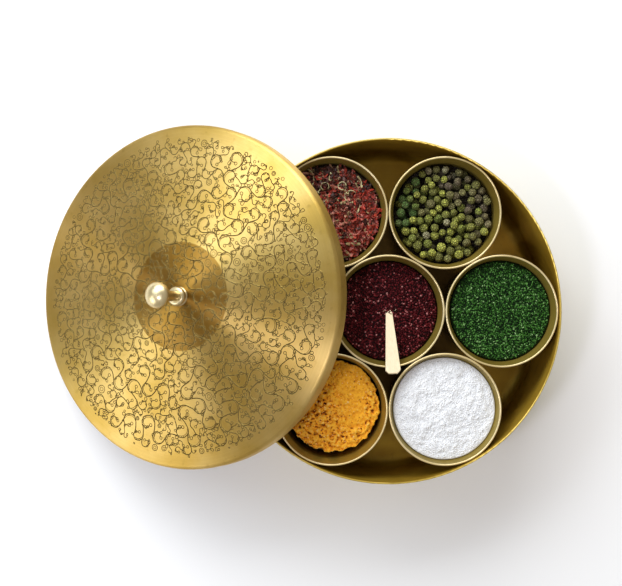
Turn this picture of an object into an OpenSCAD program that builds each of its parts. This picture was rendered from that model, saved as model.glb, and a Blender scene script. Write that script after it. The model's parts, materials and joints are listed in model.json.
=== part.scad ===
// Spice box (masala dabba): a round brass box with seven loose cups of spices,
// a wooden spoon lying in the middle cup, and an engraved cap lid with a knob.
// The lid is off: its left edge stands on the table and it leans on the box rim.
// The origin is the centre of the box's underside, +Z is up, +X runs from the lid to the box.

/* [Box] */
// Outside diameter of the box
box_d = 210; // [175:1:255]
// Height of the box
box_h = 68; // [54:1:85]
// Thickness of the box wall
box_wall = 1.2; // [0.8:0.1:1.6]
// Thickness of the box floor
box_floor = 1.2; // [0.8:0.1:2]
// Outside radius of the bend between the box wall and its floor
box_bend_r = 9; // [6:0.5:14]

/* [Cups] */
// How far the cup rims sit below the box rim
cup_drop = 2; // [1:0.5:6]
// Gap between two cups, and between a cup and the box wall
cup_gap = 0.4; // [0.3:0.05:0.8]
// Thickness of a cup's wall and floor
cup_sheet = 0.9; // [0.7:0.1:1.2]
// Radius of the round bead along a cup's rim
cup_bead_r = 0.6; // [0.5:0.05:1]
// Height of the flared lip of a cup
cup_lip_h = 9; // [5:0.5:12]
// How far the lip flares out from the cup's body
cup_flare = 2.4; // [0:0.1:3]
// How much smaller a cup's radius is at its foot than below its lip
cup_taper = 1.2; // [0:0.1:3]
// Outside radius of the bend between a cup's wall and its floor
cup_bend_r = 9; // [5:0.5:14]

/* [Lid] */
// Radial clearance between the lid's skirt and the box wall
lid_fit = 0.35; // [0.3:0.05:0.8]
// Thickness of the lid
lid_sheet = 1; // [0.8:0.1:1.2]
// Height of the straight skirt and its shoulder
skirt_h = 10; // [7:0.5:14]
// How far the cone of the lid rises from the shoulder to the flat middle
lid_rise = 3.5; // [2:0.5:6]
// Outside radius of the shoulder between the lid's top and its skirt
shoulder_r = 2.5; // [2:0.5:4]
// Diameter of the flat round in the middle of the lid
plateau_d = 64; // [60:1:80]
// Distance from the lid's middle, up the slope, to where it leans on the box rim
lean_offset = 25; // [8:1:30]
// How far the leaning lid is turned about the box, towards the back
lean_turn = 4; // [0:1:10]

/* [Knob] */
// Height of the knob above the lid, with its collar
knob_h = 30; // [22:0.5:36]
// Diameter of the knob's head
knob_head_d = 16; // [13:0.5:20]
// Diameter of the knob's neck
knob_neck_d = 6.4; // [5.5:0.1:8]
// Diameter of the screw that holds the knob
screw_d = 3; // [2:0.5:4]

/* [Spoon] */
// Slope of the spoon down into the middle cup
spoon_slope = 18.5; // [14:0.5:22]
// Width of the handle at its free end
handle_end_w = 9.2; // [7:0.1:9.4]
// Width of the handle next to the bowl
handle_neck_w = 3.9; // [3:0.1:5]
// Thickness of the handle
handle_t = 2.2; // [1.8:0.1:2.8]
// Radius of the spoon's bowl
spoon_bowl_r = 9; // [7:0.5:10]

/* [Fillings] */
// Depth of the sumac's top below the cup rim
sumac_depth = 8; // [7:0.5:10]
// Depth of the green herb's top below the cup rim
herb_depth = 7; // [6:0.5:12]
// Depth of the peppercorns' top below the cup rim
pepper_depth = 8; // [6:0.5:12]
// Depth of the chilli shreds' top below the cup rim
chilli_depth = 9; // [6:0.5:12]
// Depth of the cumin seeds' top below the cup rim
cumin_depth = 9; // [6:0.5:12]
// Depth of the turmeric's top below the cup rim
turmeric_depth = 8; // [6:0.5:12]
// Depth of the salt's top below the cup rim
salt_depth = 5; // [5:0.5:12]

/* [Hidden] */
$fn = 96;

// Clearances and small allowances shared by several pieces
rest_gap = 0.3;
fill_gap = 0.25;
screw_play = 0.05;
hole_play = 0.2;
cut = 1;

// Box and cups
box_r = box_d / 2;
box_inner_r = box_r - box_wall;
cup_r = (box_inner_r - 2 * cup_gap) / 3;
cup_pitch = 2 * cup_r + cup_gap;
cup_base_z = box_floor + rest_gap;
cup_rim_z = box_h - cup_drop;
cup_h = cup_rim_z - cup_base_z;
cup_body_r = cup_r - cup_flare;
cup_foot_r = cup_body_r - cup_taper;
cup_lip_z = cup_h - cup_lip_h;
fill_swell = 2.5;

// Lid: its own frame has the top of the flat middle at height 0
lid_r = box_r + lid_fit + lid_sheet;
lid_drop = lid_rise + skirt_h;
plateau_r = plateau_d / 2;
// The lid's lower edge stands on the table and its underside meets the box rim:
// lean_run * sin(lid_tilt) + lean_step * cos(lid_tilt) = box_h
lean_run = lid_r + lean_offset;
lean_step = lid_drop - lid_sheet;
lid_tilt = asin(box_h / norm([lean_run, lean_step])) - atan(lean_step / lean_run);
lid_x = -box_r - lean_offset * cos(lid_tilt) - lid_sheet * sin(lid_tilt);
lid_z = rest_gap + lid_r * sin(lid_tilt) + lid_drop * cos(lid_tilt);

// Knob, its collar, washer and screw
collar_h = 1.6;
collar_r = knob_neck_d * 0.95;
knob_bead_r = 1.9;
head_half_h = knob_head_d * 0.31;
washer_r = 6.5;
washer_t = 1;
screw_reach = 12;
screw_head_h = 2;
screw_head_r = screw_d * 1.1;
slot_w = 0.8;

// Spoon: its own frame starts where the handle crosses the cup's rim
spoon_turn = 2.9;
spoon_rim_y = -(cup_r - cup_bead_r);
handle_over = 4.6;
// Seen from above, the handle's end stays this far from the next cup to its right
handle_clear = 0.6;
handle_end_y = spoon_rim_y - handle_over * cos(spoon_slope);
next_cup_dy = cup_pitch * sin(60) + handle_end_y;
spoon_x = cup_pitch / 2 - sqrt(pow(cup_r + handle_clear, 2) - pow(next_cup_dy, 2)) - handle_end_w / 2;
// The handle's underside clears the round bead, which falls back to either side of the middle
spoon_edge_x = spoon_x + handle_end_w / 2;
rim_sag = -spoon_rim_y - sqrt(pow(spoon_rim_y, 2) - pow(spoon_edge_x, 2));
spoon_z = cup_rim_z - cup_bead_r + (cup_bead_r + rest_gap) / cos(spoon_slope) + rim_sag * tan(spoon_slope);
handle_in = 34;
handle_chamfer = 2;
bowl_y = 43;
bowl_depth = 6;
bowl_sheet = 1.5;
pocket_gap = 0.6;

// Outline, right of the axis, of a round pan with a straight or tapered wall
module pan_outline(rim_r, foot_r, height, bend_r) {
    hull() {
        square([foot_r - bend_r, height]);
        translate([foot_r - bend_r, bend_r])
            intersection() {
                circle(r = bend_r);
                translate([0, -bend_r]) square([bend_r, 2 * bend_r]);
            }
        translate([0, height - cut]) square([rim_r, cut]);
    }
}

// Radius of a cup's flared lip at a height above its foot
function lip_r(z) = cup_body_r + cup_flare * (z - cup_lip_z) / cup_lip_h;

// Outline of a cup, or of what fits inside it by an inset, up to a height
module cup_outline(inset, top) {
    translate([0, inset])
        pan_outline(cup_body_r - inset, cup_foot_r - inset, cup_lip_z - inset, cup_bend_r - inset);
    polygon([[0, cup_lip_z], [cup_body_r - inset, cup_lip_z], [lip_r(top) - inset, top], [0, top]]);
}

// Outline of the lid's outside, from the flat middle down past the skirt
module cap_outline(outer_r, flat_r, bend_r, depth) {
    hull() {
        translate([0, -cut]) square([flat_r, cut]);
        translate([outer_r - bend_r, -lid_rise - bend_r]) circle(r = bend_r);
        translate([0, -depth]) square([outer_r, cut]);
    }
}

// Right half of an oval
module half_oval(a, b) {
    steps = 36;
    polygon([for (i = [0:steps]) let (t = -90 + 180 * i / steps) [a * cos(t), b * sin(t)]]);
}

// Places a piece of the lid where the lid leans
module on_lid() {
    rotate([0, 0, -lean_turn])
        translate([lid_x, 0, lid_z])
            rotate([0, -lid_tilt, 0])
                children();
}

// Places a cup or its filling: the middle place, or one of six round it
module in_place(angle = undef) {
    shift = is_undef(angle) ? [0, 0, cup_base_z]
        : [cup_pitch * cos(angle), cup_pitch * sin(angle), cup_base_z];
    translate(shift) children();
}

// Places the spoon where it lies over the rim of the middle cup
module on_rim() {
    translate([spoon_x, spoon_rim_y, spoon_z])
        rotate([0, 0, spoon_turn])
            rotate([-spoon_slope, 0, 0])
                children();
}

module box_body() {
    color("darkgoldenrod")
        rotate_extrude() {
            difference() {
                pan_outline(box_r, box_r, box_h - box_wall / 2, box_bend_r);
                translate([0, box_floor])
                    pan_outline(box_inner_r, box_inner_r, box_h, box_bend_r - box_wall);
            }
            translate([box_r - box_wall / 2, box_h - box_wall / 2]) circle(r = box_wall / 2);
        }
}

module lid_cover() {
    color("goldenrod")
        on_lid()
            difference() {
                rotate_extrude() {
                    difference() {
                        cap_outline(lid_r, plateau_r, shoulder_r, lid_drop - lid_sheet / 2);
                        translate([0, -lid_sheet])
                            cap_outline(lid_r - lid_sheet, plateau_r, shoulder_r - lid_sheet, lid_drop);
                    }
                    translate([lid_r - lid_sheet / 2, lid_sheet / 2 - lid_drop]) circle(r = lid_sheet / 2);
                }
                translate([0, 0, -lid_sheet - cut])
                    cylinder(r = screw_d / 2 + hole_play, h = lid_sheet + 2 * cut);
            }
}

module knob_collar() {
    color("khaki")
        on_lid()
            rotate_extrude() {
                translate([screw_d / 2 + hole_play, 0])
                    square([collar_r - collar_h / 2 - screw_d / 2 - hole_play, collar_h]);
                translate([collar_r - collar_h / 2, collar_h / 2]) circle(r = collar_h / 2);
            }
}

module lid_knob() {
    color("khaki")
        on_lid()
            difference() {
                rotate_extrude() {
                    translate([0, collar_h]) square([knob_neck_d / 2, knob_h - collar_h - head_half_h]);
                    translate([0, collar_h]) square([knob_neck_d / 2 + knob_bead_r / 2, 2 * knob_bead_r]);
                    translate([knob_neck_d / 2 + knob_bead_r / 2, collar_h + knob_bead_r])
                        circle(r = knob_bead_r);
                    translate([0, knob_h - head_half_h]) half_oval(knob_head_d / 2, head_half_h);
                }
                translate([0, 0, collar_h - cut])
                    cylinder(r = screw_d / 2 + screw_play, h = screw_reach + cut);
            }
}

module knob_washer() {
    color("gray")
        on_lid()
            translate([0, 0, -lid_sheet - washer_t])
                difference() {
                    cylinder(r = washer_r, h = washer_t);
                    translate([0, 0, -cut])
                        cylinder(r = screw_d / 2 + hole_play, h = washer_t + 2 * cut);
                }
}

module knob_screw() {
    head_z = -lid_sheet - washer_t - screw_head_h;
    color("silver")
        on_lid()
            difference() {
                union() {
                    translate([0, 0, head_z]) cylinder(r = screw_head_r, h = screw_head_h);
                    translate([0, 0, head_z + screw_head_h / 2])
                        cylinder(r = screw_d / 2, h = collar_h + screw_reach - head_z - screw_head_h);
                }
                translate([-screw_head_r - cut, -slot_w / 2, head_z - cut])
                    cube([2 * (screw_head_r + cut), slot_w, screw_head_h / 2 + cut]);
            }
}

// One loose cup with a flared lip and a beaded rim
module cup(angle = undef) {
    color("peru")
        in_place(angle)
            rotate_extrude() {
                difference() {
                    cup_outline(0, cup_h - cup_bead_r);
                    cup_outline(cup_sheet, cup_h);
                }
                translate([cup_r - cup_bead_r, cup_h - cup_bead_r]) circle(r = cup_bead_r);
            }
}

// The spice in one cup: it fills the cup up to a slightly swollen top
module filling(depth, angle = undef) {
    top_z = cup_h - depth;
    swell_r = (cup_r * cup_r + fill_swell * fill_swell) / (2 * fill_swell);
    in_place(angle)
        rotate_extrude()
            intersection() {
                cup_outline(cup_sheet + fill_gap, cup_h);
                translate([0, top_z - swell_r]) circle(r = swell_r, $fn = 720);
            }
}

module cup_centre() { cup(); }
module cup_right() { cup(0); }
module cup_upper_right() { cup(60); }
module cup_upper_left() { cup(120); }
module cup_left() { cup(180); }
module cup_lower_left() { cup(240); }
module cup_lower_right() { cup(300); }

module green_herb() { color("darkgreen") filling(herb_depth, 0); }
module peppercorns() { color("olivedrab") filling(pepper_depth, 60); }
module chilli_shreds() { color("brown") filling(chilli_depth, 120); }
module cumin_seeds() { color("tan") filling(cumin_depth, 180); }
module turmeric() { color("orange") filling(turmeric_depth, 240); }
module salt() { color("whitesmoke") filling(salt_depth, 300); }

// The sumac has a pocket that the spoon stands in and lifts out of
module sumac() {
    pocket_w = handle_end_w + 2 * pocket_gap;
    color("maroon")
        difference() {
            filling(sumac_depth);
            on_rim() {
                translate([-pocket_w / 2, -cup_r, -pocket_gap]) cube([pocket_w, cup_r + bowl_y, cup_h]);
                translate([0, bowl_y, 0])
                    rotate([spoon_slope, 0, 0])
                        translate([0, 0, -bowl_depth])
                            cylinder(r = spoon_bowl_r + 2 * pocket_gap, h = cup_h);
            }
        }
}

module spoon() {
    cap_r = (spoon_bowl_r * spoon_bowl_r + bowl_depth * bowl_depth) / (2 * bowl_depth);
    end_w = handle_end_w / 2;
    neck_w = handle_neck_w / 2;
    color("wheat")
        on_rim()
            difference() {
                union() {
                    linear_extrude(handle_t)
                        polygon([
                            [-end_w + handle_chamfer, -handle_over],
                            [end_w - handle_chamfer, -handle_over],
                            [end_w, -handle_over + handle_chamfer],
                            [neck_w, handle_in],
                            [neck_w, bowl_y],
                            [-neck_w, bowl_y],
                            [-neck_w, handle_in],
                            [-end_w, -handle_over + handle_chamfer]
                        ]);
                    translate([0, bowl_y, 0]) bowl_cap(cap_r, spoon_bowl_r);
                }
                translate([0, bowl_y, 0]) bowl_cap(cap_r - bowl_sheet, spoon_bowl_r, bowl_sheet, cut);
            }
}

// A round cap cut from a ball: the outside of the spoon's bowl, or its hollow
module bowl_cap(ball_r, wide_r, lift = 0, over = 0) {
    intersection() {
        translate([0, 0, handle_t - bowl_depth + ball_r + lift]) sphere(r = ball_r);
        translate([0, 0, handle_t - bowl_depth - cut])
            cylinder(r = wide_r + cut, h = bowl_depth + cut + over);
    }
}

box_body();
lid_cover();
lid_knob();
knob_collar();
knob_washer();
knob_screw();
cup_centre();
cup_right();
cup_upper_right();
cup_upper_left();
cup_left();
cup_lower_left();
cup_lower_right();
sumac();
green_herb();
peppercorns();
chilli_shreds();
cumin_seeds();
turmeric();
salt();
spoon();
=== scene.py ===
"""A brass spice box with its lid leaning on the rim, seven cups of spices and a wooden spoon."""
import bpy
import json
import math
import random
import numpy as np
from bpy.props import FloatProperty, FloatVectorProperty, IntProperty, PointerProperty
from mathutils import Matrix, Vector, noise
from mathutils.bvhtree import BVHTree
from mathutils.kdtree import KDTree

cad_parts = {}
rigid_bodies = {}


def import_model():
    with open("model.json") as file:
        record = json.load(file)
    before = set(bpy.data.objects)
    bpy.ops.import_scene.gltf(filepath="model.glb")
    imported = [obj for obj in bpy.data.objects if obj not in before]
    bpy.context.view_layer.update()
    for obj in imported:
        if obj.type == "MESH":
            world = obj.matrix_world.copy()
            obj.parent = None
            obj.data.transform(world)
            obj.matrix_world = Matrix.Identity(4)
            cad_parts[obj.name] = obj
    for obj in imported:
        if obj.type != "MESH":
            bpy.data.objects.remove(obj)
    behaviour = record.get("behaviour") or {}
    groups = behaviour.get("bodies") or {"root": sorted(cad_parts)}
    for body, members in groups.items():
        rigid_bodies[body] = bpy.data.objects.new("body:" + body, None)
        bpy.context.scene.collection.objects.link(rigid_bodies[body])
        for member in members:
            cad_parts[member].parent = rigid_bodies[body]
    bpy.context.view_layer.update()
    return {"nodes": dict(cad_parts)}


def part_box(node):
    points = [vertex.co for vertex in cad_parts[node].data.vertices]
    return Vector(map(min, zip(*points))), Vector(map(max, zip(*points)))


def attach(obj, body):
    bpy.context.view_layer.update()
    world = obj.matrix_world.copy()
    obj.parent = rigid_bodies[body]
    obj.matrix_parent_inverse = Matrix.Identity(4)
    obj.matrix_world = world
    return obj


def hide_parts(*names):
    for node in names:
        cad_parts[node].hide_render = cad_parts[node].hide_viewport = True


bl_info = {
    "name": "Brass Spice Box",
    "version": (1, 0, 0),
    "blender": (4, 5, 0),
    "location": "View3D > Sidebar > Spice Box",
    "description": "Finishes the spun brass, engraves the lid, fills the cups and carves the spoon",
    "category": "Object",
}

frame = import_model()
MM = 0.001
UP = Vector((0, 0, 1))

# Which sockets of a Mix node carry colours
MIX_COLOURS = (6, 7)
MIXED_COLOUR = 2
# How far down from a heap's top its surface can lie
HEAP_DEPTH = 12 * MM

PLACES = ("centre", "right", "upper_right", "upper_left", "left", "lower_left", "lower_right")


# ---- places taken from the frame

def middle(node):
    """Centre of a node's box."""
    low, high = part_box(node)
    return (low + high) / 2


def lid_frame():
    """Middle of the lid's flat top, and the lid's own axis, from its spread of points."""
    points = np.array([v.co for v in frame["nodes"]["lid_cover"].data.vertices])
    ring = points[:: max(1, len(points) // 20000)]
    spread = np.cov((ring - ring.mean(0)).T)
    axis = Vector(np.linalg.eigh(spread)[1][:, 0]).normalized()
    if axis.z < 0:
        axis.negate()
    washer = middle("knob_washer")
    top = max((Vector(p) - washer).dot(axis) for p in points[::7])
    return washer + axis * top, axis


LID_TOP, LID_AXIS = lid_frame()
LID_SIDE = LID_AXIS.cross(UP).normalized()
LID_RISE = LID_SIDE.cross(LID_AXIS)
LID_RADIUS = (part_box("lid_cover")[1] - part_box("lid_cover")[0]).y / 2


class Cup:
    """Where one cup stands and how high its rim is."""

    def __init__(self, place):
        low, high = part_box("cup_" + place)
        self.body = place + "_cup"
        self.axis = Vector(((low.x + high.x) / 2, (low.y + high.y) / 2, 0))
        self.rim_z = high.z


CUPS = {place: Cup(place) for place in PLACES}


# ---- small makers' tools

class Shader:
    """A node material under construction: one principled shader and helpers that add nodes to it."""

    def __init__(self, name):
        self.material = bpy.data.materials.new(name)
        self.material.use_nodes = True
        self.nodes = self.material.node_tree.nodes
        self.links = self.material.node_tree.links
        self.nodes.clear()
        self.surface = self.add("ShaderNodeBsdfPrincipled")
        self.add("ShaderNodeOutputMaterial", {"Surface": self.surface.outputs["BSDF"]})
        self.object = self.add("ShaderNodeTexCoord").outputs["Object"]

    def add(self, kind, sockets=None, **settings):
        """Adds a node with its settings and what goes into its sockets."""
        node = self.nodes.new(kind)
        for key, value in settings.items():
            setattr(node, key, value)
        for key, value in (sockets or {}).items():
            self.put(node.inputs[key], value)
        return node

    def put(self, socket, value):
        if isinstance(value, bpy.types.NodeSocket):
            self.links.new(value, socket)
        else:
            socket.default_value = value

    def vector(self, operation, *values):
        node = self.add("ShaderNodeVectorMath", dict(enumerate(values)), operation=operation)
        return node.outputs["Value" if operation in ("LENGTH", "DOT_PRODUCT") else "Vector"]

    def maths(self, operation, first, second, clamp=False):
        node = self.add("ShaderNodeMath", {0: first, 1: second}, operation=operation, use_clamp=clamp)
        return node.outputs[0]

    def noise(self, scale, detail, where=None):
        sockets = {"Vector": self.object if where is None else where, "Scale": scale, "Detail": detail}
        return self.add("ShaderNodeTexNoise", sockets).outputs["Fac"]

    def streaks(self, along, scale, detail=3.0):
        """Noise that changes along one number only, such as a distance from an axis."""
        sockets = {"W": along, "Scale": scale, "Detail": detail}
        return self.add("ShaderNodeTexNoise", sockets, noise_dimensions="1D").outputs["Fac"]

    def folds(self, scale):
        """Distance to the nearest edge in a pattern of cells."""
        sockets = {"Vector": self.object, "Scale": scale}
        return self.add("ShaderNodeTexVoronoi", sockets, feature="DISTANCE_TO_EDGE").outputs["Distance"]

    def ramp(self, value, *stops):
        """Colours or greys at places from 0 to 1: each stop is (place, colour)."""
        node = self.add("ShaderNodeValToRGB")
        self.put(node.inputs["Fac"], value)
        elements = node.color_ramp.elements
        while len(elements) < len(stops):
            elements.new(0.5)
        for element, (place, colour) in zip(elements, stops):
            element.position = place
            grey = isinstance(colour, (int, float))
            element.color = (colour, colour, colour, 1) if grey else (*colour, 1)
        return node.outputs["Color"]

    def between(self, value, low, high):
        """Maps 0..1 to low..high."""
        return self.add("ShaderNodeMapRange", {"Value": value, "To Min": low, "To Max": high}).outputs["Result"]

    def step(self, value, edge, soft):
        """0 well below an edge and 1 well above it."""
        sockets = {"Value": value, "From Min": edge - soft, "From Max": edge + soft}
        return self.add("ShaderNodeMapRange", sockets, interpolation_type="SMOOTHSTEP").outputs["Result"]

    def mix(self, amount, first, second, blend="MIX"):
        node = self.add("ShaderNodeMix", {"Factor": amount}, data_type="RGBA", blend_type=blend)
        for socket, value in zip(MIX_COLOURS, (first, second)):
            self.put(node.inputs[socket], value if isinstance(value, bpy.types.NodeSocket) else (*value, 1))
        return node.outputs[MIXED_COLOUR]

    def bump(self, height, depth, strength=1.0):
        """Bump of a 0..1 height, depth in metres."""
        node = self.add("ShaderNodeBump", {"Height": height, "Distance": depth, "Strength": strength})
        self.set(Normal=node.outputs["Normal"])

    def paint_depth_shade(self, colour, top, reach, least):
        """Painted shade: darkens a colour with its depth below a height, down to a part of itself at the reach.
        """
        height = self.add("ShaderNodeSeparateXYZ", {0: self.object}).outputs["Z"]
        sockets = {"Value": height, "From Min": top - reach, "From Max": top, "To Min": least, "To Max": 1.0}
        part = self.add("ShaderNodeMapRange", sockets).outputs["Result"]
        grey = self.add("ShaderNodeCombineXYZ", {0: part, 1: part, 2: part}).outputs[0]
        return self.vector("MULTIPLY", colour, grey)

    def tint(self):
        """The tint that each grain carries."""
        return self.add("ShaderNodeAttribute", attribute_name="tint").outputs["Fac"]

    def set(self, **sockets):
        """Sets sockets by name, with underscores for spaces."""
        for name, value in sockets.items():
            socket = self.surface.inputs[name.replace("_", " ")]
            if name.endswith(("Color", "Tint")) and not isinstance(value, bpy.types.NodeSocket):
                value = (*value, 1)
            self.put(socket, value)


def spun_metal(name, centre, axis, tones, roughness, anisotropic, lines=2600, zones=(), metallic=1.0):
    """Metal turned about an axis: long soft highlights across fine turned lines, and a faint patina.

    Each zone is (which, edge, soft, tint, lining): it tints the part with a smaller radius or height than
    the edge, and only the faces that look inwards or up if it is a lining."""
    m = Shader(name)
    axis = tuple(axis)
    arm = m.vector("SUBTRACT", m.object, tuple(centre))
    round_way = m.vector("NORMALIZE", m.vector("CROSS_PRODUCT", axis, arm))
    normal = m.add("ShaderNodeNewGeometry").outputs["Normal"]
    across = m.vector("NORMALIZE", m.vector("CROSS_PRODUCT", normal, round_way))
    radius = m.vector("LENGTH", m.vector("CROSS_PRODUCT", axis, arm))
    height = m.vector("DOT_PRODUCT", arm, axis)
    station = m.maths("ADD", radius, height)
    fine = m.streaks(station, lines)
    broad = m.streaks(station, lines / 12, 2)
    cloud = m.noise(38, 4)
    dark, light = tones
    shade = m.mix(m.ramp(cloud, (0.35, 0), (0.68, 1)), dark, light)
    shade = m.mix(m.ramp(fine, (0.3, 0.16), (0.7, 0.0)), shade, tuple(0.5 * c for c in dark))
    spots = m.ramp(m.noise(260, 3), (0.62, 0), (0.8, 0.5))
    shade = m.mix(spots, shade, tuple(0.6 * c for c in dark))
    radial = m.vector("CROSS_PRODUCT", round_way, axis)
    upward = m.vector("DOT_PRODUCT", normal, axis)
    inward = m.maths("SUBTRACT", upward, m.vector("DOT_PRODUCT", normal, radial))
    for which, edge, soft, tint, lining in zones:
        amount = m.maths("SUBTRACT", 1.0, m.step(radius if which == "radius" else height, edge, soft))
        if lining:
            amount = m.maths("MULTIPLY", amount, m.step(inward, 0.2, 0.15))
        shade = m.mix(amount, shade, tint, blend="MULTIPLY")
    wear = m.maths("ADD", m.maths("MULTIPLY", fine, 0.5), m.maths("MULTIPLY", broad, 0.5))
    m.set(Base_Color=shade, Metallic=metallic, Anisotropic=anisotropic,
          Roughness=m.between(wear, roughness - 0.07, roughness + 0.07), Tangent=across)
    m.bump(fine, 0.000012, 0.6)
    return m.material


def give(node, material):
    """Gives a carried-over node its finish."""
    piece = frame["nodes"][node]
    piece.data.materials.clear()
    piece.data.materials.append(material)


# ---- mesh tools

def start_piece(add, name, **settings):
    """Deselects everything, adds a primitive and names it."""
    bpy.ops.object.select_all(action="DESELECT")
    add(**settings)
    piece = bpy.context.object
    piece.name = name
    return piece


def settle(piece):
    """Puts a piece's place and turn into its mesh."""
    bpy.ops.object.select_all(action="DESELECT")
    piece.select_set(True)
    bpy.context.view_layer.objects.active = piece
    bpy.ops.object.transform_apply(location=True, rotation=True, scale=True)


def finish(piece, name, kind, **settings):
    """Adds a modifier with its settings and applies it."""
    modifier = piece.modifiers.new(name, kind)
    for key, value in settings.items():
        setattr(modifier, key, value)
    bpy.context.view_layer.objects.active = piece
    bpy.ops.object.modifier_apply(modifier=name)


def roughen(piece, size, strength, group="", direction="NORMAL", **look):
    """Displaces a piece by procedural clouds and applies it."""
    texture = bpy.data.textures.new(piece.name + "_lumps", "CLOUDS")
    texture.noise_scale = size
    for key, value in look.items():
        setattr(texture, key, value)
    finish(piece, "lumps", "DISPLACE", texture=texture, texture_coords="LOCAL", direction=direction,
           strength=strength, vertex_group=group)
    bpy.data.textures.remove(texture)


def tree_of(mesh):
    """A mesh made ready to be struck by rays."""
    return BVHTree.FromPolygons([v.co for v in mesh.vertices], [tuple(f.vertices) for f in mesh.polygons])


def take_shape(piece):
    """Points and faces of a modelled grain, which is then put away."""
    points = np.array([v.co for v in piece.data.vertices])
    faces = [tuple(f.vertices) for f in piece.data.polygons]
    bpy.data.objects.remove(piece)
    return points, faces


def polar(angle):
    """The way that an angle points, one unit long."""
    return Vector((math.cos(angle), math.sin(angle)))


def link(name, data):
    """An object of this name in the scene, at the origin."""
    piece = bpy.data.objects.new(name, data)
    bpy.context.scene.collection.objects.link(piece)
    return piece


def random_turn(rng, tilt=math.pi):
    """A random turn about the upright, tipped by up to tilt."""
    spin = Matrix.Rotation(rng.uniform(0, math.tau), 3, "Z")
    side = polar(rng.uniform(0, math.tau)).to_3d()
    return Matrix.Rotation(rng.uniform(-tilt, tilt), 3, side) @ spin


def lay_copies(name, shapes, places, material, body, slot):
    """One piece made of many copies of a few grains. Each place is (shape, point, turn, size, tint)."""
    points, faces, tints, count = [], [], [], 0
    for pick, point, turn, size, tint in places:
        base, sides = shapes[pick]
        points.append((base * np.array(size)) @ np.array(turn).T + np.array(point))
        faces.extend(tuple(i + count for i in side) for side in sides)
        tints.extend([tint] * len(base))
        count += len(base)
    mesh = bpy.data.meshes.new(name)
    mesh.from_pydata(np.concatenate(points).tolist(), [], faces)
    mesh.attributes.new("tint", "FLOAT", "POINT").data.foreach_set("value", tints)
    mesh.shade_smooth()
    mesh.materials.append(material)
    piece = link(name, mesh)
    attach(piece, body)


def pebble(name, detail, lumps, lump_size):
    """A lumpy ball of few faces, about one unit in radius."""
    piece = start_piece(bpy.ops.mesh.primitive_ico_sphere_add, name, subdivisions=detail, radius=1)
    roughen(piece, lump_size, lumps)
    return take_shape(piece)


# ---- fillings

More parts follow.
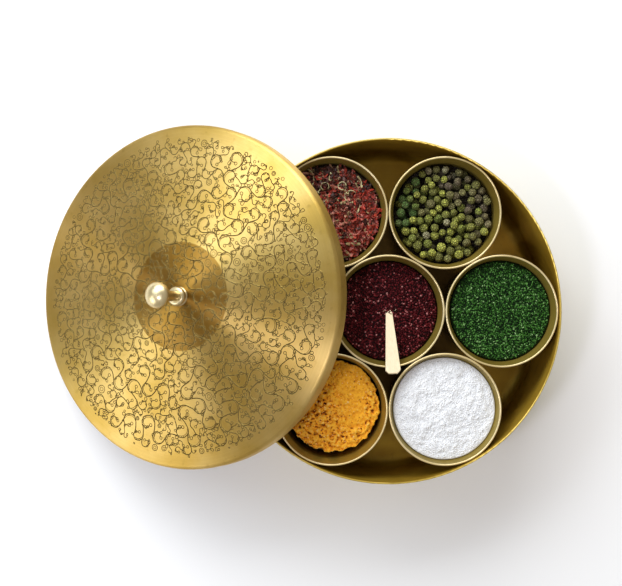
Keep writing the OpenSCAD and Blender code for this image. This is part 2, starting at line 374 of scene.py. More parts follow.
class Filling:
    """The room a spice takes in its cup, read from the solid it replaces."""

    def __init__(self, node, place):
        low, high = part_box(node)
        self.node = node
        self.cup = CUPS[place]
        self.radius = (high.y - low.y) / 2 - 0.15 * MM
        self.top = high.z
        self.foot = low.z

    def heap(self, drop, swell, lumps, lump_size, material, rings=26, sides=96, lean=(0, 0), crumbs=None,
             shrink=1.0, shift=(0, 0)):
        """A lathe-like heap with a rough top that replaces the plain solid.

        crumbs is (depth, size, octaves, where): a second, finer roughness, stronger where the function says.
        A shrunk and shifted heap leaves a gap along the cup's wall."""
        x, y = self.cup.axis.xy
        level = self.top - drop
        foot_r = self.radius * 0.7

        def reach(v):
            return math.hypot(v.co.x - x, v.co.y - y) / self.radius

        piece = start_piece(bpy.ops.mesh.primitive_circle_add, self.node + "_heap", vertices=sides,
                            radius=foot_r, fill_type="NGON", location=(x, y, self.foot))
        settle(piece)
        bpy.ops.object.mode_set(mode="EDIT")
        bpy.ops.mesh.select_all(action="SELECT")
        middle_point = (x, y, self.foot)
        rise = 10 * MM
        for height, wide in ((rise, self.radius * 0.94), (level - self.foot - rise, self.radius)):
            bpy.ops.mesh.extrude_region_move(TRANSFORM_OT_translate={"value": (0, 0, height)})
            grow = wide / foot_r
            bpy.ops.transform.resize(value=(grow, grow, 1), center_override=middle_point)
            foot_r = wide
        for _ in range(rings - 1):
            bpy.ops.mesh.inset(thickness=self.radius / rings, use_even_offset=False)
        bpy.ops.mesh.poke()
        bpy.ops.object.mode_set(mode="OBJECT")
        top = piece.vertex_groups.new(name="top")
        for v in piece.data.vertices:
            out = reach(v)
            if v.co.z > level - 1e-4 and out < 0.999:
                v.co.z += swell * (1 - out * out) + lean[0] * (v.co.x - x) + lean[1] * (v.co.y - y)
                top.add([v.index], min(1, (1 - out) * 6), "REPLACE")
        roughen(piece, lump_size, lumps, "top", "Z", noise_depth=3)
        if crumbs:
            depth, size, octaves, where = crumbs
            fine = piece.vertex_groups.new(name="fine")
            for v in piece.data.vertices:
                if v.co.z > level - lumps:
                    amount = min(1, 0.35 + (1 - reach(v)) * 5) * where(*self.spot(v.co))
                    fine.add([v.index], amount, "REPLACE")
            roughen(piece, size, depth, "fine", "Z", noise_depth=octaves)
        for v in piece.data.vertices:
            ragged = shrink
            if shrink < 1 and v.co.z > self.top - 15 * MM:
                ragged -= 0.04 * noise.fractal(v.co * 300, 0.7, 2, 5)
            v.co.x = x + (v.co.x - x) * ragged + shift[0]
            v.co.y = y + (v.co.y - y) * ragged + shift[1]
        # Painted light and shade: with crumbs, the heap's hollows are painted darker and its rises lighter;
        # without them it keeps no tint and takes its material's darkest colour, painted shade in the gaps under
        # the grains.
        if crumbs:
            self.paint_hollow_shade(piece)
        piece.data.shade_smooth()
        piece.data.materials.append(material)
        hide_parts(self.node)
        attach(piece, self.cup.body)
        self.surface = tree_of(piece.data)

    def spot(self, point):
        """How far right and back a point lies in the cup, from -1 to 1."""
        return (point.x - self.cup.axis.x) / self.radius, (point.y - self.cup.axis.y) / self.radius

    def paint_hollow_shade(self, piece):
        """Painted shade and light: writes how far each point stands above or below its neighbours as the grain
        tint, so hollows take the darker colours and rises the lighter ones.
        """
        reach, contrast = 0.0016, 430
        points = [v.co for v in piece.data.vertices]
        tree = KDTree(len(points))
        for i, point in enumerate(points):
            if point.z > self.top - HEAP_DEPTH:
                tree.insert((point.x, point.y, 0), i)
        tree.balance()
        tints = []
        for point in points:
            near = [points[i].z for _, i, _ in tree.find_range((point.x, point.y, 0), reach)]
            level = sum(near) / max(1, len(near))
            tints.append(min(1, max(0, 0.5 + (point.z - level) * contrast)) if near else 0.3)
        piece.data.attributes.new("tint", "FLOAT", "POINT").data.foreach_set("value", tints)

    def height(self, x, y):
        hit = self.surface.ray_cast(Vector((x, y, 1)), Vector((0, 0, -1)))[0]
        return hit.z if hit else None

    def spread(self, rng, pitch, edge):
        """Points over the heap, on a loose honeycomb, up to edge from the cup's wall."""
        jitter, row_step = 0.45, 0.866
        rows = int(self.radius / pitch) + 2
        for row in range(-2 * rows, 2 * rows):
            for column in range(-2 * rows, 2 * rows):
                x = (column + (row % 2) / 2 + rng.uniform(-jitter, jitter)) * pitch
                y = (row * row_step + rng.uniform(-jitter, jitter)) * pitch
                if math.hypot(x, y) < self.radius - edge:
                    x, y = x + self.cup.axis.x, y + self.cup.axis.y
                    height = self.height(x, y)
                    if height is not None and height > self.top - HEAP_DEPTH:
                        yield Vector((x, y, height))


def grain_colour(name, stops, roughness, mottle=900, depth=0.00008, specular=0.4, shaded=None):
    """Colour picked by each grain's own tint, with fine mottling.

    shaded is (top, reach, least): painted shade, grains deeper in the heap are darker."""
    m = Shader(name)
    tint = m.tint()
    spread = m.maths("ADD", tint, m.between(m.noise(mottle, 3), -0.12, 0.12), clamp=True)
    colour = m.ramp(spread, *stops)
    if shaded:
        colour = m.paint_depth_shade(colour, *shaded)
    m.set(Base_Color=colour, Roughness=roughness, Specular_IOR_Level=specular)
    m.bump(m.noise(mottle * 1.6, 3), depth)
    return m.material


# ---- settings

def tone(name, description, default):
    """A colour that the user may change."""
    return FloatVectorProperty(name=name, description=description, subtype="COLOR", default=default,
                               min=0, max=1)


def length(name, description, default, **limits):
    """A length in metres that the user may change."""
    return FloatProperty(name=name, description=description, subtype="DISTANCE", unit="LENGTH", default=default,
                         **limits)


def power(name, description, default):
    """A lamp's power that the user may change."""
    return FloatProperty(name=name, description=description, subtype="POWER", unit="POWER", default=default,
                         min=0)


class BrassSettings(bpy.types.PropertyGroup):
    lid_dark: tone("Lid, darker tone", "Deeper tone of the lid's brass", (0.485, 0.312, 0.070))
    lid_light: tone("Lid, lighter tone", "Brighter tone of the lid's brass", (0.60, 0.415, 0.140))
    shell_dark: tone("Box, darker tone", "Deeper tone of the box's brass", (0.50, 0.36, 0.07))
    shell_light: tone("Box, lighter tone", "Brighter tone of the box's brass", (0.68, 0.52, 0.14))
    roughness: FloatProperty(name="Roughness", description="How matt the spun brass is",
        default=0.40, min=0.05, max=0.9)
    metal: FloatProperty(name="Metal", description="How metallic the dulled brass of the box and cups is",
        subtype="FACTOR", default=0.5, min=0, max=1)
    # painted shade: the inside tint darkens the box's lining
    inside: tone("Inside tint", "How the brass has browned inside the box", (0.86, 0.70, 0.25))
    # painted shade: darkens the box's floor amid the cups, within the floor radius
    shaded_tint: tone("Floor tint", "How the box's floor has darkened amid the cups", (0.30, 0.26, 0.20))
    shaded_radius: length("Floor radius", "Radius of the darkened middle of the floor", 0.058, min=0)
    # painted shade: darkens each cup below its pale rim line
    cup_inside_shade: tone("Cup tint", "How the brass has browned inside the cups", (0.42, 0.37, 0.12))
    round_tint: tone("Middle tint", "Tint of the flat round about the knob", (0.56, 0.46, 0.30))
    round_radius: length("Middle radius", "Radius of the flat round about the knob", 0.0335, min=0)


class StageSettings(bpy.types.PropertyGroup):
    camera_height: length("Camera height", "Height of the camera above the table", 0.766, min=0.3, max=5)
    camera_x: length("Camera X", "Where the camera hangs, from the box's middle", -0.047)
    camera_y: length("Camera Y", "Where the camera hangs, from the box's middle", 0.011)
    lens: FloatProperty(name="Lens", description="Focal length on a 36 mm sensor", subtype="DISTANCE_CAMERA",
        default=66.7, min=10, max=300)
    key_power: power("Key light", "Power of the large soft light behind the box", 4.8)
    back_power: power("Back light", "Power of the wide soft light at the back", 19)
    left_power: power("Left light", "Power of the low soft light at the left", 2.3)
    side_power: power("Side light", "Power of the small cool light above the lid", 3.0)
    room_light: FloatProperty(name="Room light", description="Strength of the even light from all round",
        default=0.45, min=0)
    room_colour: tone("Room colour", "Colour of the even light", (1.0, 0.95, 0.86))
    table: tone("Table", "Colour of the plain floor", (0.93, 0.93, 0.93))


class EngravingSettings(bpy.types.PropertyGroup):
    seed: IntProperty(name="Seed", description="Another number grows another vine", default=4)
    inner: length("Inner radius", "Where the vine starts, from the knob's axis", 0.0075)
    reach: FloatProperty(name="Reach", description="Outer edge of the vine as a part of the lid's radius",
        subtype="FACTOR", default=0.92, min=0.4, max=0.94)
    cut_colour: tone("Cut", "Colour of the darkened cuts", (0.042, 0.023, 0.006))


class SpoonSettings(bpy.types.PropertyGroup):
    wood: tone("Wood", "Colour of the pale wood", (0.96, 0.83, 0.56))
    softening: length("Softened edges", "Width of the rounding along the edges", 0.0005, min=0)


# ---- stage

def soft_light(name, direction, distance, size, energy, colour=(1, 1, 1)):
    """A soft rectangular light that looks at the box from a direction."""
    target = Vector((-0.06, 0, 0.05))
    place = target + Vector(direction).normalized() * distance
    lamp = bpy.data.lights.new(name, "AREA")
    lamp.shape = "RECTANGLE"
    lamp.size, lamp.size_y = size
    lamp.energy = energy
    lamp.color = colour
    piece = link(name, lamp)
    piece.location = place
    piece.rotation_euler = (target - place).to_track_quat("-Z", "Y").to_euler()


class DABBA_OT_stage(bpy.types.Operator):
    """Lays the pale floor and sets up the soft studio lights and the camera"""
    bl_idname = "dabba.stage"
    bl_label = "Stage, lights and camera"

    def execute(self, context):
        s = context.scene.dabba_stage
        floor = start_piece(bpy.ops.mesh.primitive_plane_add, "floor", size=8, location=(0, 0, -0.5 * MM))
        m = Shader("pale_floor")
        m.set(Base_Color=tuple(s.table), Roughness=0.8)
        floor.data.materials.append(m.material)
        world = bpy.data.worlds.new("studio")
        world.use_nodes = True
        background = world.node_tree.nodes["Background"]
        background.inputs["Color"].default_value = (*s.room_colour, 1)
        background.inputs["Strength"].default_value = s.room_light
        context.scene.world = world
        soft_light("key_softbox", (-0.60, 0.46, 0.66), 1.15, (0.8, 0.6), s.key_power, (0.72, 0.86, 1.0))
        soft_light("back_softbox", (-0.16, 0.80, 0.60), 1.4, (1.3, 0.8), s.back_power, (0.96, 0.98, 1.0))
        soft_light("left_softbox", (-0.85, -0.36, 0.38), 1.1, (0.5, 0.4), s.left_power)
        soft_light("side_softbox", (-0.35, -0.19, 0.86), 1.2, (0.16, 0.16), s.side_power, (0.80, 0.80, 1.0))
        camera = link("camera", bpy.data.cameras.new("camera"))
        camera.data.lens = s.lens
        camera.data.sensor_width = 36
        camera.location = (s.camera_x, s.camera_y, s.camera_height)
        context.scene.camera = camera
        context.scene.view_settings.view_transform = "Standard"
        return {"FINISHED"}


# ---- brass

# Darker and lighter tones of the metals that the settings leave alone
KNOB_TONES = (0.66, 0.53, 0.28), (0.78, 0.66, 0.40)
CUP_TONES = (0.72, 0.56, 0.26), (0.84, 0.70, 0.40)
STEEL_TONES = (0.42, 0.42, 0.42), (0.62, 0.62, 0.62)
# the cuts' lips are lighter than the lid: painted highlight along the raised edges
LIP_TONES = (0.54, 0.38, 0.10), (0.70, 0.51, 0.16)
# Half the width of the soft edge where a lining starts
LINING_EDGE = 0.25 * MM


class DABBA_OT_brass(bpy.types.Operator):
    """Gives the box, the lid, the cups and the knob their spun and polished brass"""
    bl_idname = "dabba.brass"
    bl_label = "Spun brass"

    def execute(self, context):
        s = context.scene.dabba_brass
        shell = (tuple(s.shell_dark), tuple(s.shell_light))
        lid = (tuple(s.lid_dark), tuple(s.lid_light))
        low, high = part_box("box_body")
        outer, rim = (high.x - low.x) / 2, high.z
        # painted shade: the box's lining is darkened, most of all on the floor amid the cups
        lined = [("radius", outer - 0.9 * MM, LINING_EDGE, tuple(s.inside), True),
                 ("radius", s.shaded_radius, 9 * MM, tuple(s.shaded_tint), True)]
        give("box_body", spun_metal("box_brass", (0, 0, 0), UP, shell, s.roughness - 0.02, 0.6, zones=lined,
                                    metallic=s.metal))
        flat = [("radius", s.round_radius, LINING_EDGE, tuple(s.round_tint), False)]
        give("lid_cover", spun_metal("lid_brass", LID_TOP, LID_AXIS, lid, s.roughness, 0.92, 1900, zones=flat))
        knob = spun_metal("knob_brass", LID_TOP, LID_AXIS, KNOB_TONES, 0.33, 0.3)
        give("lid_knob", knob)
        give("knob_collar", knob)
        for place, cup in CUPS.items():
            # painted shade: each cup is darkened below a thin rim line
            lined = [("height", cup.rim_z - 0.7 * MM, LINING_EDGE, tuple(s.cup_inside_shade), False)]
            give("cup_" + place, spun_metal("cup_brass_" + place, cup.axis, UP, CUP_TONES, s.roughness - 0.06,
                                            0.5, zones=lined, metallic=s.metal))
        steel = spun_metal("washer_steel", LID_TOP, LID_AXIS, STEEL_TONES, 0.32, 0.4)
        give("knob_washer", steel)
        give("knob_screw", steel)
        return {"FINISHED"}


# ---- engraving

# Radius of the curls in millimetres, and how many are tried at each size, the largest first
CURL_SIZES = (5.0, 900), (4.1, 3500), (3.1, 7000), (2.2, 9000), (1.5, 8000)
# How many berries and leaves are tried in the gaps
GAP_TRIES = 5000
# Across a cut: place as a part of half its width, and height above the lid in millimetres
CUT_PROFILE = (-1.3, 0.004), (-1.0, 0.03), (0, 0.014), (1.0, 0.03), (1.3, 0.004)


class Scroll:
    """One curl of the vine: it starts on a circle and winds inwards."""

    def __init__(self, centre, radius, start, sense, parent=None):
        self.centre, self.radius, self.start, self.sense, self.parent = centre, radius, start, sense, parent
        self.turns = 0.76 + 0.05 * radius

    def reach(self, turn):
        """Distance from the centre after this much of the whole winding, 0 to 1."""
        shrink = max(0.0, turn - 0.22) / 0.78
        return self.radius * (1 - 0.66 * shrink ** 0.85)

    def point(self, turn):
        angle = self.start + self.sense * turn * self.turns * math.tau
        return self.centre + polar(angle) * self.reach(turn)

    def heading(self, turn):
        return (self.point(turn + 0.004) - self.point(turn - 0.004)).normalized()

    def turn_at(self, angle):
        """How far along the winding its first pass over an angle comes."""
        return ((angle - self.start) * self.sense % math.tau) / (self.turns * math.tau)


def grow_vine(rng, inner, outer):
    """Packs curls between two rings. Each touches the curl it branches from and winds the other way."""
    scrolls = [Scroll(Vector((inner + 6, 0)), 5.4, 0, 1)]
    for size, tries in CURL_SIZES:
        for _ in range(tries):
            parent = rng.choice(scrolls)
            radius = size * rng.uniform(0.82, 1.18)
            angle = rng.uniform(0, math.tau)
            centre = parent.centre + polar(angle) * (parent.radius + radius + 0.35)
            if not inner + radius < centre.length < outer - radius:
                continue
            if all((centre - s.centre).length > s.radius + radius + 0.3 for s in scrolls):
                scrolls.append(Scroll(centre, radius, angle + math.pi, -parent.sense, parent))
    return scrolls


def blend_curve(a, a_way, b, b_way, steps):
    """A smooth curve from a to b that leaves and arrives along the given ways."""
    pull = (b - a).length * 0.9
    for i in range(steps):
        t = i / steps
        yield (a * (2 * t**3 - 3 * t**2 + 1) + a_way * pull * (t**3 - 2 * t**2 + t)
               + b * (3 * t**2 - 2 * t**3) + b_way * pull * (t**3 - t**2))


def scroll_strokes(scrolls, rng):
    """The cut lines of the vine: its stems, then its rings, berries and leaves. Each is (points, widths)."""
    stems, strokes = [], []
    for scroll in scrolls:
        if scroll.radius < 3.0 and rng.random() < 0.22:
            strokes.append(ring(scroll.centre, scroll.radius * 0.86, 16, 0.42))
            strokes.append(ring(scroll.centre, scroll.radius * 0.42, 9, 0.34))
            continue
        joined = 0.13 if scroll.radius > 4 else 0.09
        line = []
        if scroll.parent:
            toward = scroll.centre - scroll.parent.centre
            leave = max(0.02, scroll.parent.turn_at(math.atan2(toward.y, toward.x)) - 0.08)
            if leave < 0.9:
                line += blend_curve(scroll.parent.point(leave), scroll.parent.heading(leave),
                                    scroll.point(joined), scroll.heading(joined), 9)
        steps = int(10 + scroll.radius * scroll.turns * 6.5)
        line += [scroll.point(joined + (1 - joined) * i / steps) for i in range(steps + 1)]
        bold = 0.48 + 0.03 * min(scroll.radius, 8)
        stems.append((line, [bold * (1 - 0.3 * i / len(line)) for i in range(len(line))]))
        if scroll.radius > 2.6:
            berry = 0.45 + 0.09 * scroll.radius
            middle = line[-1] - scroll.heading(1).orthogonal() * scroll.sense * berry
            strokes.append(ring(middle, berry, 9, 0.40))
        if scroll.radius > 4.2:
            second = []
            for i in range(int(steps * 0.5)):
                turn = joined + (1 - joined) * i / steps
                lift = 1.1 * math.sin(math.pi * min(1, i / (steps * 0.5))) ** 0.6
                second.append(scroll.point(turn) + (scroll.centre - scroll.point(turn)).normalized() * lift)
            stems.append((second, [0.30] * len(second)))
        leaves = int(scroll.radius * 1.1)
        for i in range(leaves):
            turn = 0.2 + 0.6 * (i + rng.uniform(0.2, 0.8)) / max(1, leaves)
            out = (scroll.point(turn) - scroll.centre).normalized()
            long = rng.uniform(1.6, 3.8) * (0.7 + 0.06 * scroll.radius)
            way = scroll.heading(turn) + out * rng.choice((-0.55, 0.6))
            strokes.append(leaf(scroll.point(turn), way, long))
    return stems, strokes


def ring(centre, radius, steps, width):
    """A small round berry."""
    line = [centre + polar(math.tau * i / steps) * radius for i in range(steps + 1)]
    return line, [width] * len(line)


def leaf(foot, way, long):
    """A teardrop leaf cut as one outline from its foot and back."""
    way = way.normalized()
    side = Vector((-way.y, way.x))
    steps = 11
    line = []
    for i in range(steps + 1):
        t = i / steps
        along = math.sin(math.pi * t)
        line.append(foot + way * long * along + side * long * 0.33 * math.sin(math.tau * t) * along**0.5)
    return line, [0.41] * len(line)


def fill_gaps(scrolls, rng, inner, outer):
    """Berries and short leaves in the gaps that the curls leave."""
    strokes, taken = [], []
    for _ in range(GAP_TRIES):
        size = rng.uniform(0.7, 1.5)
        spot = polar(rng.uniform(0, math.tau)) * math.sqrt(rng.uniform(inner**2, outer**2))
        if any((spot - s.centre).length < s.radius + size + 0.35 for s in scrolls):
            continue
        if any((spot - other).length < size + reach + 0.4 for other, reach in taken):
            continue
        taken.append((spot, size))
        if size > 1.05 or rng.random() < 0.5:
            strokes.append(ring(spot, size * 0.8, 9, 0.32))
        else:
            strokes.append(leaf(spot, Vector((rng.uniform(-1, 1), rng.uniform(-1, 1))), size * 1.5))
    return strokes


def cut_lines(name, strokes, dark, bright):
    """Engraved lines on the lid: a dark floor between two raised lips, their brass lighter than the lid's as a
    painted highlight.
    """
    surface = tree_of(frame["nodes"]["lid_cover"].data)
    points, faces, finish = [], [], []
    for line, widths in strokes:
        if len(line) < 3:
            continue
        for i, (spot, width) in enumerate(zip(line, widths)):
            way = (line[min(i + 1, len(line) - 1)] - line[max(i - 1, 0)]).normalized()
            side = Vector((-way.y, way.x))
            for across, lift in CUT_PROFILE:
                flat = (spot + side * across * width / 2) * MM
                start = LID_TOP + LID_RISE * flat.x + LID_SIDE * flat.y + LID_AXIS * 0.01
                hit = surface.ray_cast(start, -LID_AXIS)[0]
                points.append(hit + LID_AXIS * lift * MM)
            if i:
                across_cut = len(CUT_PROFILE)
                for k in range(across_cut - 1):
                    a = len(points) - 2 * across_cut + k
                    faces.append((a, a + across_cut, a + across_cut + 1, a + 1))
                    finish.append(0 if k in (1, 2) else 1)
    mesh = bpy.data.meshes.new(name)
    mesh.from_pydata(points, [], faces)
    mesh.materials.append(dark)
    mesh.materials.append(bright)
    mesh.polygons.foreach_set("material_index", finish)
    mesh.update()
    if mesh.polygons and mesh.polygons[0].normal.dot(LID_AXIS) < 0:
        mesh.flip_normals()
    piece = link(name, mesh)
    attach(piece, "lid")


class DABBA_OT_engraving(bpy.types.Operator):
    """Cuts the winding vine, its leaves and its berries into the top of the lid"""
    bl_idname = "dabba.engraving"
    bl_label = "Engraved vine"

    def execute(self, context):
        s = context.scene.dabba_engraving
        dark = Shader("cut_floor")
        dark.set(Base_Color=tuple(s.cut_colour), Roughness=0.8, Specular_IOR_Level=0.05)
        bright = spun_metal("cut_lip", LID_TOP, LID_AXIS, LIP_TONES, 0.42, 0.6)
        rng = random.Random(s.seed)
        outer = LID_RADIUS / MM * s.reach
        scrolls = grow_vine(rng, s.inner / MM, outer)
        stems, strokes = scroll_strokes(scrolls, rng)
        strokes += fill_gaps(scrolls, rng, s.inner / MM, outer)
        cut_lines("lid_engraving", stems, dark.material, bright)
        cut_lines("lid_engraving_leaves", strokes, dark.material, bright)
        return {"FINISHED"}


# ---- spices

class DABBA_OT_peppercorns(bpy.types.Operator):
    """Drops wrinkled green peppercorns into their cup, one on another"""
    bl_idname = "dabba.peppercorns"
    bl_label = "Green peppercorns"

    def execute(self, context):
        rng = random.Random(3)
        room = Filling("peppercorns", "upper_right")
        m = Shader("peppercorn_skin")
        tint = m.tint()
        skin = m.ramp(tint, (0.0, (0.16, 0.115, 0.10)), (0.22, (0.27, 0.22, 0.12)), (0.42, (0.26, 0.27, 0.055)),
                      (0.62, (0.60, 0.62, 0.11)), (0.74, (0.48, 0.49, 0.08)), (0.84, (0.060, 0.16, 0.035)),
                      (0.93, (0.14, 0.25, 0.060)), (1.0, (0.50, 0.46, 0.27)))
        folds = m.folds(640)
        # painted shade: the wrinkles' fold lines are darkened
        skin = m.mix(m.ramp(folds, (0.0, 0.85), (0.08, 0.5), (0.24, 0.0)), skin, (0.050, 0.040, 0.016))
        skin = m.mix(m.ramp(m.noise(420, 3), (0.5, 0), (0.8, 0.3)), skin, (0.46, 0.46, 0.16))
        # painted shade: corns deeper in the pile are darker
        skin = m.paint_depth_shade(skin, room.top + 0.5 * MM, 7 * MM, 0.32)
        m.set(Base_Color=skin, Roughness=0.6, Specular_IOR_Level=0.2)
        m.bump(m.ramp(folds, (0.0, 0), (0.35, 1)), 0.0009)
        deep = 9 * MM
        # the heap under the corns keeps no tint and takes the darkest skin colour: painted shade in the gaps
        room.heap(deep, 0, 1 * MM, 0.004, m.material, rings=12)
        shapes = [pebble("peppercorn", 2, lumps=0.22, lump_size=0.35 + 0.2 * i) for i in range(5)]
        for points, _ in shapes[3:]:
            pole = points[:, 2] > 0.8
            points[pole] *= (0.9, 0.9, 0.62)
        base = room.top - deep
        centres = np.zeros((0, 3))
        radii = np.zeros(0)
        places = []
        drops, tries = 1100, 14
        for _ in range(drops):
            radius = rng.uniform(2.2, 2.95) * MM
            best = None
            for _ in range(tries):
                angle = rng.uniform(0, math.tau)
                reach = math.sqrt(rng.random()) * (room.radius - radius)
                x, y = reach * math.cos(angle), reach * math.sin(angle)
                gap = (radii + radius) ** 2 - (centres[:, 0] - x) ** 2 - (centres[:, 1] - y) ** 2
                touching = gap > 0
                rests = centres[touching, 2] + np.sqrt(gap[touching])
                z = max(base + radius, rests.max()) if touching.any() else base + radius
                if best is None or z < best[2]:
                    best = (x, y, z)
            if best[2] > room.top + 0.9 * MM:
                continue
            centres = np.vstack([centres, best])
            radii = np.append(radii, radius)
            size = [radius * rng.uniform(0.94, 1.06) for _ in range(3)]
            spot = Vector(best) + room.cup.axis
            across, back = best[0] / room.radius, best[1] / room.radius
            hue = rng.random()
            if rng.random() < 0.06:
                hue = 1.0
            elif across < -0.55 and back > -0.3 and rng.random() < 0.75:
                hue = rng.uniform(0.8, 0.95)
            elif across + 0.8 * back > 0.35 and rng.random() < 0.7:
                hue = rng.uniform(0.0, 0.4)
            else:
                hue = rng.uniform(0.3, 0.8)
            places.append((rng.randrange(len(shapes)), spot, random_turn(rng, 1.2), size, hue))
        lay_copies("peppercorn_pile", shapes, places, m.material, room.cup.body, room.node)
        return {"FINISHED"}


class DABBA_OT_sumac(bpy.types.Operator):
    """Heaps the dark maroon sumac granules in the middle cup"""
    bl_idname = "dabba.sumac"
    bl_label = "Sumac"

    def execute(self, context):
        rng = random.Random(5)
        room = Filling("sumac", "centre")
        stops = ((0.0, (0.010, 0.001, 0.001)), (0.5, (0.055, 0.003, 0.005)), (0.84, (0.12, 0.010, 0.012)),
                 (0.95, (0.24, 0.045, 0.05)), (1.0, (0.50, 0.22, 0.20)))
        colour = grain_colour("sumac_grain", stops, 0.5, specular=0.1)
        room.heap(1.6 * MM, 1.2 * MM, 1.4 * MM, 0.006, colour)
        shapes = [pebble("sumac_granule", 1, lumps=0.5, lump_size=0.6 + 0.3 * i) for i in range(3)]
        places = []
        for spot in room.spread(rng, 1.05 * MM, 0.7 * MM):
            size = [rng.uniform(0.42, 0.9) * MM for _ in range(3)]
            lift = Vector((0, 0, rng.uniform(0.0, 0.5) * MM))
            places.append((rng.randrange(3), spot + lift, random_turn(rng), size, rng.random()))
        lay_copies("sumac_granules", shapes, places, colour, room.cup.body, room.node)
        return {"FINISHED"}


class DABBA_OT_green_herb(bpy.types.Operator):
    """Fills the right cup with cut green herb"""
    bl_idname = "dabba.green_herb"
    bl_label = "Green herb"

    def execute(self, context):
        rng = random.Random(7)
        room = Filling("green_herb", "right")
        stops = ((0.0, (0.003, 0.012, 0.002)), (0.4, (0.016, 0.060, 0.008)), (0.75, (0.045, 0.150, 0.020)),
                 (0.94, (0.11, 0.27, 0.06)), (1.0, (0.26, 0.42, 0.17)))
        colour = grain_colour("herb_flake", stops, 0.55, specular=0.12)
        room.heap(1.2 * MM, 0.8 * MM, 1.4 * MM, 0.006, colour)
        shapes = [pebble("herb_cut", 1, lumps=0.5, lump_size=0.5 + 0.3 * i) for i in range(3)]
        places = []
        for spot in room.spread(rng, 1.02 * MM, 0.8 * MM):
            size = (rng.uniform(0.6, 1.1) * MM, rng.uniform(0.35, 0.6) * MM, rng.uniform(0.22, 0.4) * MM)
            lift = Vector((0, 0, rng.uniform(0.0, 0.9) * MM))
            places.append((rng.randrange(3), spot + lift, random_turn(rng, 0.9), size, rng.random()))
        lay_copies("herb_flakes", shapes, places, colour, room.cup.body, room.node)
        return {"FINISHED"}


class DABBA_OT_salt(bpy.types.Operator):
    """Heaps coarse white salt in its cup"""
    bl_idname = "dabba.salt"
    bl_label = "Salt"

    def execute(self, context):
        rng = random.Random(11)
        room = Filling("salt", "lower_right")
        # painted shade: the lowest stops colour the heap's hollows grey
        stops = ((0.0, (0.44, 0.45, 0.46)), (0.35, (0.70, 0.71, 0.72)), (0.7, (0.84, 0.84, 0.84)),
                 (1.0, (0.90, 0.90, 0.90)))
        colour = grain_colour("salt_crystal", stops, 0.45, specular=0.4)
        room.heap(1.2 * MM, 1.6 * MM, 3.4 * MM, 0.010, colour, rings=48, sides=128,
                  crumbs=(1.5 * MM, 0.0026, 4, lambda across, back: 1))
        crystal = start_piece(bpy.ops.mesh.primitive_cube_add, "salt_cube", size=1.7)
        finish(crystal, "worn", "BEVEL", width=0.3)
        shapes = [take_shape(crystal), pebble("salt_lump", 1, lumps=0.6, lump_size=0.8)]
        places = []
        for spot in room.spread(rng, 1.05 * MM, 0.6 * MM):
            size = [rng.uniform(0.22, 0.55) * MM for _ in range(3)]
            places.append((rng.randrange(2), spot, random_turn(rng), size, rng.uniform(0.3, 1)))
        lay_copies("salt_crystals", shapes, places, colour, room.cup.body, room.node)
        return {"FINISHED"}


class DABBA_OT_turmeric(bpy.types.Operator):
    """Crumbles the orange turmeric into its cup"""
    bl_idname = "dabba.turmeric"
    bl_label = "Turmeric"

    def execute(self, context):
        rng = random.Random(13)
        room = Filling("turmeric", "lower_left")
        # painted shade: the lowest stops colour the heap's hollows dark brown
        stops = ((0.0, (0.055, 0.010, 0.006)), (0.20, (0.22, 0.055, 0.010)), (0.36, (0.80, 0.30, 0.018)),
                 (0.55, (1.0, 0.50, 0.034)), (0.85, (1.0, 0.58, 0.08)), (1.0, (1.0, 0.70, 0.28)))
        colour = grain_colour("turmeric_crumb", stops, 0.85, mottle=600, depth=0.0002, specular=0.1)

        def rough(across, back):
            """Crumbly at the left and along the front, smoother at the right."""
            if back < -0.5 or across > 0.7:
                return 0.8
            return min(1, max(0.2, 0.62 - 1.3 * across - 0.25 * back))

        room.heap(2.4 * MM, 1.2 * MM, 3.0 * MM, 0.010, colour, rings=78, sides=240, lean=(0.03, 0.04),
                  crumbs=(8.5 * MM, 0.0034, 6, rough), shrink=0.925, shift=(0.9 * MM, 1.6 * MM))
        shapes = [pebble("turmeric_crumb_%d" % i, 1, lumps=0.6, lump_size=0.45 + 0.2 * i) for i in range(3)]
        places = []
        for spot in room.spread(rng, 1.25 * MM, 1.2 * MM):
            across = room.spot(spot)[0]
            if rng.random() < 0.75 - 0.3 * across:
                size = [(0.22 + 0.6 * rng.random() ** 2) * rng.uniform(0.75, 1.25) * MM for _ in range(3)]
                places.append((rng.randrange(3), spot, random_turn(rng), size, rng.uniform(0.32, 1) ** 1.2))
        lay_copies("turmeric_crumbs", shapes, places, colour, room.cup.body, room.node)
        return {"FINISHED"}


def shred(rng, long, wide, curl):
    """A dried curl of skin: a thin strip bent along its length, with ragged edges."""
    piece = start_piece(bpy.ops.mesh.primitive_grid_add, "shred", x_subdivisions=9, y_subdivisions=2, size=1)
    for v in piece.data.vertices:
        along = v.co.x
        width = wide * (1 - (2 * along) ** 4 * 0.75) * rng.uniform(0.8, 1.15)
        angle = curl * along
        bend = long / curl if abs(curl) > 0.05 else long
        cup = 0.35 * wide * (2 * v.co.y) ** 2
        v.co = (bend * math.sin(angle), v.co.y * width, bend * (1 - math.cos(angle)) + cup)
    finish(piece, "skin", "SOLIDIFY", thickness=0.35)
    return take_shape(piece)


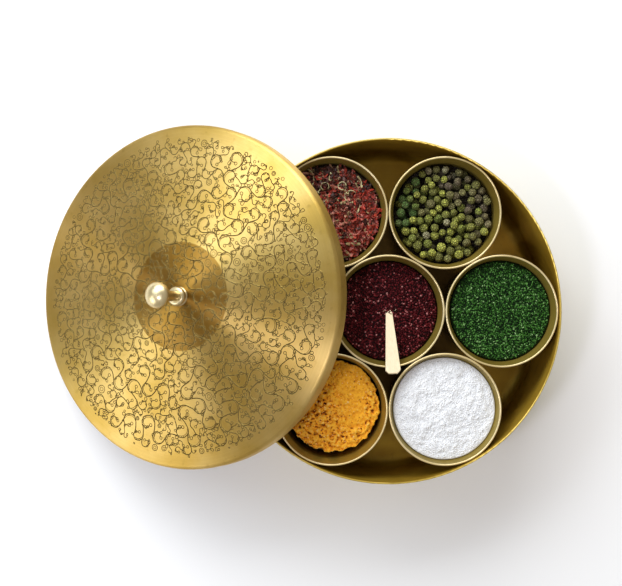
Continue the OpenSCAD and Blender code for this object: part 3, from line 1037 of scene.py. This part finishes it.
class DABBA_OT_chilli_shreds(bpy.types.Operator):
    """Piles curled shreds of dried chilli, with a few pale green ones"""
    bl_idname = "dabba.chilli_shreds"
    bl_label = "Chilli shreds"

    def execute(self, context):
        rng = random.Random(17)
        room = Filling("chilli_shreds", "upper_left")
        stops = ((0.0, (0.035, 0.010, 0.006)), (0.30, (0.11, 0.032, 0.018)), (0.50, (0.20, 0.024, 0.014)),
                 (0.68, (0.50, 0.045, 0.022)), (0.80, (0.62, 0.26, 0.19)), (0.88, (0.42, 0.32, 0.14)),
                 (1.0, (0.62, 0.58, 0.30)))
        # painted shade: shreds and heap deeper in the pile are darker
        colour = grain_colour("chilli_skin", stops, 0.42, mottle=500, depth=0.00015,
                              shaded=(room.top - 0.5 * MM, 4 * MM, 0.3))
        # the heap keeps no tint and takes the darkest colour: painted shade under the shreds
        room.heap(4.2 * MM, 1 * MM, 2 * MM, 0.007, colour)
        shapes = [shred(rng, rng.uniform(3.5, 9), rng.uniform(0.9, 1.8), rng.uniform(0.5, 3.2))
                  for _ in range(12)]
        shapes += [shred(rng, rng.uniform(12, 15), rng.uniform(2.1, 2.7), curl) for curl in (2.0, 3.6, 5.2)]
        places = []
        for layer in range(4):
            for spot in room.spread(rng, 2.7 * MM, 1.9 * MM):
                across, back = room.spot(spot)
                lift = Vector((0, 0, (0.5 + layer * 0.8 + rng.uniform(0, 0.6)) * MM))
                size = [rng.uniform(0.7, 1.15) * MM] * 3
                dark = rng.random() < 0.5 + 0.4 * back - 0.25 * across
                hue = rng.uniform(0, 0.45) if dark else rng.uniform(0.45, 0.74)
                if rng.random() < 0.07:
                    hue = rng.uniform(0.76, 0.84)
                elif rng.random() < 0.05 + 0.12 * max(0, back):
                    hue = rng.uniform(0.86, 1.0)
                places.append((rng.randrange(12), spot + lift, random_turn(rng, 0.6), size, hue))
        upright = Matrix.Rotation(math.radians(62), 3, "X")
        for across, back, pick in ((-0.55, 0.45, 12), (-0.15, 0.62, 14), (0.15, 0.60, 14), (0.30, 0.42, 13),
                                   (-0.30, 0.25, 13), (-0.02, -0.28, 12), (-0.05, -0.12, 13), (-0.35, 0.70, 12)):
            spot = room.cup.axis + Vector((across, back, 0)) * room.radius
            height = room.height(spot.x, spot.y) or room.top
            spot = Vector((spot.x, spot.y, height + 3.4 * MM))
            turn = Matrix.Rotation(rng.uniform(0, math.tau), 3, "Z") @ upright
            places.append((pick, spot, turn, [MM] * 3, rng.uniform(0.88, 1.0)))
        lay_copies("chilli_curls", shapes, places, colour, room.cup.body, room.node)
        return {"FINISHED"}


class DABBA_OT_cumin_seeds(bpy.types.Operator):
    """Fills the cup under the lid with cumin seeds"""
    bl_idname = "dabba.cumin_seeds"
    bl_label = "Cumin seeds"

    def execute(self, context):
        rng = random.Random(19)
        room = Filling("cumin_seeds", "left")
        m = Shader("cumin_husk")
        husk = m.ramp(m.tint(), (0.0, (0.13, 0.075, 0.03)), (0.5, (0.26, 0.16, 0.07)),
                      (1.0, (0.42, 0.30, 0.15)))
        m.set(Base_Color=m.mix(m.ramp(m.noise(900, 3), (0.4, 0), (0.7, 0.6)), husk, (0.50, 0.40, 0.24)),
              Roughness=0.6)
        m.bump(m.noise(1500, 2), 0.0001)
        room.heap(1.5 * MM, 1 * MM, 1.5 * MM, 0.006, m.material)
        seed = start_piece(bpy.ops.mesh.primitive_ico_sphere_add, "cumin_seed", subdivisions=2, radius=1)
        for v in seed.data.vertices:
            v.co = (v.co.x * 2.9, v.co.y * 0.75, v.co.z * 0.65 + 0.18 * v.co.x**2)
        shapes = [take_shape(seed)]
        places = []
        for layer in range(2):
            for spot in room.spread(rng, 2.3 * MM, 2.6 * MM):
                lift = Vector((0, 0, (0.3 + 0.9 * layer) * MM))
                size = [rng.uniform(0.8, 1.1) * MM] * 3
                places.append((0, spot + lift, random_turn(rng, 0.35), size, rng.random()))
        lay_copies("cumin_pile", shapes, places, m.material, room.cup.body, room.node)
        return {"FINISHED"}


# ---- spoon

class DABBA_OT_spoon(bpy.types.Operator):
    """Carves the pale wooden spoon with softened edges"""
    bl_idname = "dabba.spoon"
    bl_label = "Wooden spoon"

    def execute(self, context):
        s = context.scene.dabba_spoon
        bpy.ops.object.select_all(action="DESELECT")
        piece = link("carved_spoon", frame["nodes"]["spoon"].data.copy())
        context.view_layer.objects.active = piece
        piece.select_set(True)
        bpy.ops.object.mode_set(mode="EDIT")
        bpy.ops.mesh.select_all(action="SELECT")
        bpy.ops.mesh.remove_doubles(threshold=0.00001)
        bpy.ops.mesh.dissolve_limited(angle_limit=math.radians(1))
        bpy.ops.object.mode_set(mode="OBJECT")
        finish(piece, "softened", "BEVEL", width=s.softening, segments=3, angle_limit=math.radians(40))
        bpy.ops.object.shade_smooth_by_angle(angle=math.radians(35))
        m = Shader("pale_wood")
        sockets = {"Vector": m.object, "Scale": (1, 0.06, 1), "Rotation": (0, 0, math.radians(3))}
        along = m.add("ShaderNodeMapping", sockets).outputs["Vector"]
        grain = m.noise(1500, 3, along)
        broad = m.noise(300, 2, along)
        wood = m.mix(m.ramp(grain, (0.35, 0), (0.75, 0.55)), tuple(s.wood), (0.80, 0.62, 0.36))
        wood = m.mix(m.ramp(broad, (0.4, 0), (0.8, 0.35)), wood, (0.92, 0.78, 0.55))
        m.set(Base_Color=wood, Roughness=0.55)
        m.bump(grain, 0.00004)
        piece.data.materials.clear()
        piece.data.materials.append(m.material)
        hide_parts("spoon")
        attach(piece, "spoon")
        return {"FINISHED"}


STEPS = [
    DABBA_OT_stage, DABBA_OT_brass, DABBA_OT_engraving, DABBA_OT_peppercorns, DABBA_OT_sumac,
    DABBA_OT_green_herb, DABBA_OT_salt, DABBA_OT_turmeric, DABBA_OT_chilli_shreds,
    DABBA_OT_cumin_seeds, DABBA_OT_spoon,
]
SETTINGS = {
    "dabba_stage": StageSettings, "dabba_brass": BrassSettings,
    "dabba_engraving": EngravingSettings, "dabba_spoon": SpoonSettings,
}


class DABBA_PT_panel(bpy.types.Panel):
    """Sidebar panel with the settings and one button for each step"""
    bl_idname = "DABBA_PT_panel"
    bl_label = "Spice Box"
    bl_space_type = "VIEW_3D"
    bl_region_type = "UI"
    bl_category = "Spice Box"

    def draw(self, context):
        for name, group in SETTINGS.items():
            box = self.layout.box()
            for key in group.__annotations__:
                box.prop(getattr(context.scene, name), key)
        for step in STEPS:
            self.layout.operator(step.bl_idname)


CLASSES = [*SETTINGS.values(), *STEPS, DABBA_PT_panel]


def register():
    for item in CLASSES:
        bpy.utils.register_class(item)
    for name, group in SETTINGS.items():
        setattr(bpy.types.Scene, name, PointerProperty(type=group))


def unregister():
    for name in SETTINGS:
        delattr(bpy.types.Scene, name)
    for item in reversed(CLASSES):
        bpy.utils.unregister_class(item)


def main():
    register()
    for step in STEPS:
        getattr(bpy.ops.dabba, step.bl_idname.split(".")[1])()


if __name__ == "__main__":
    main()
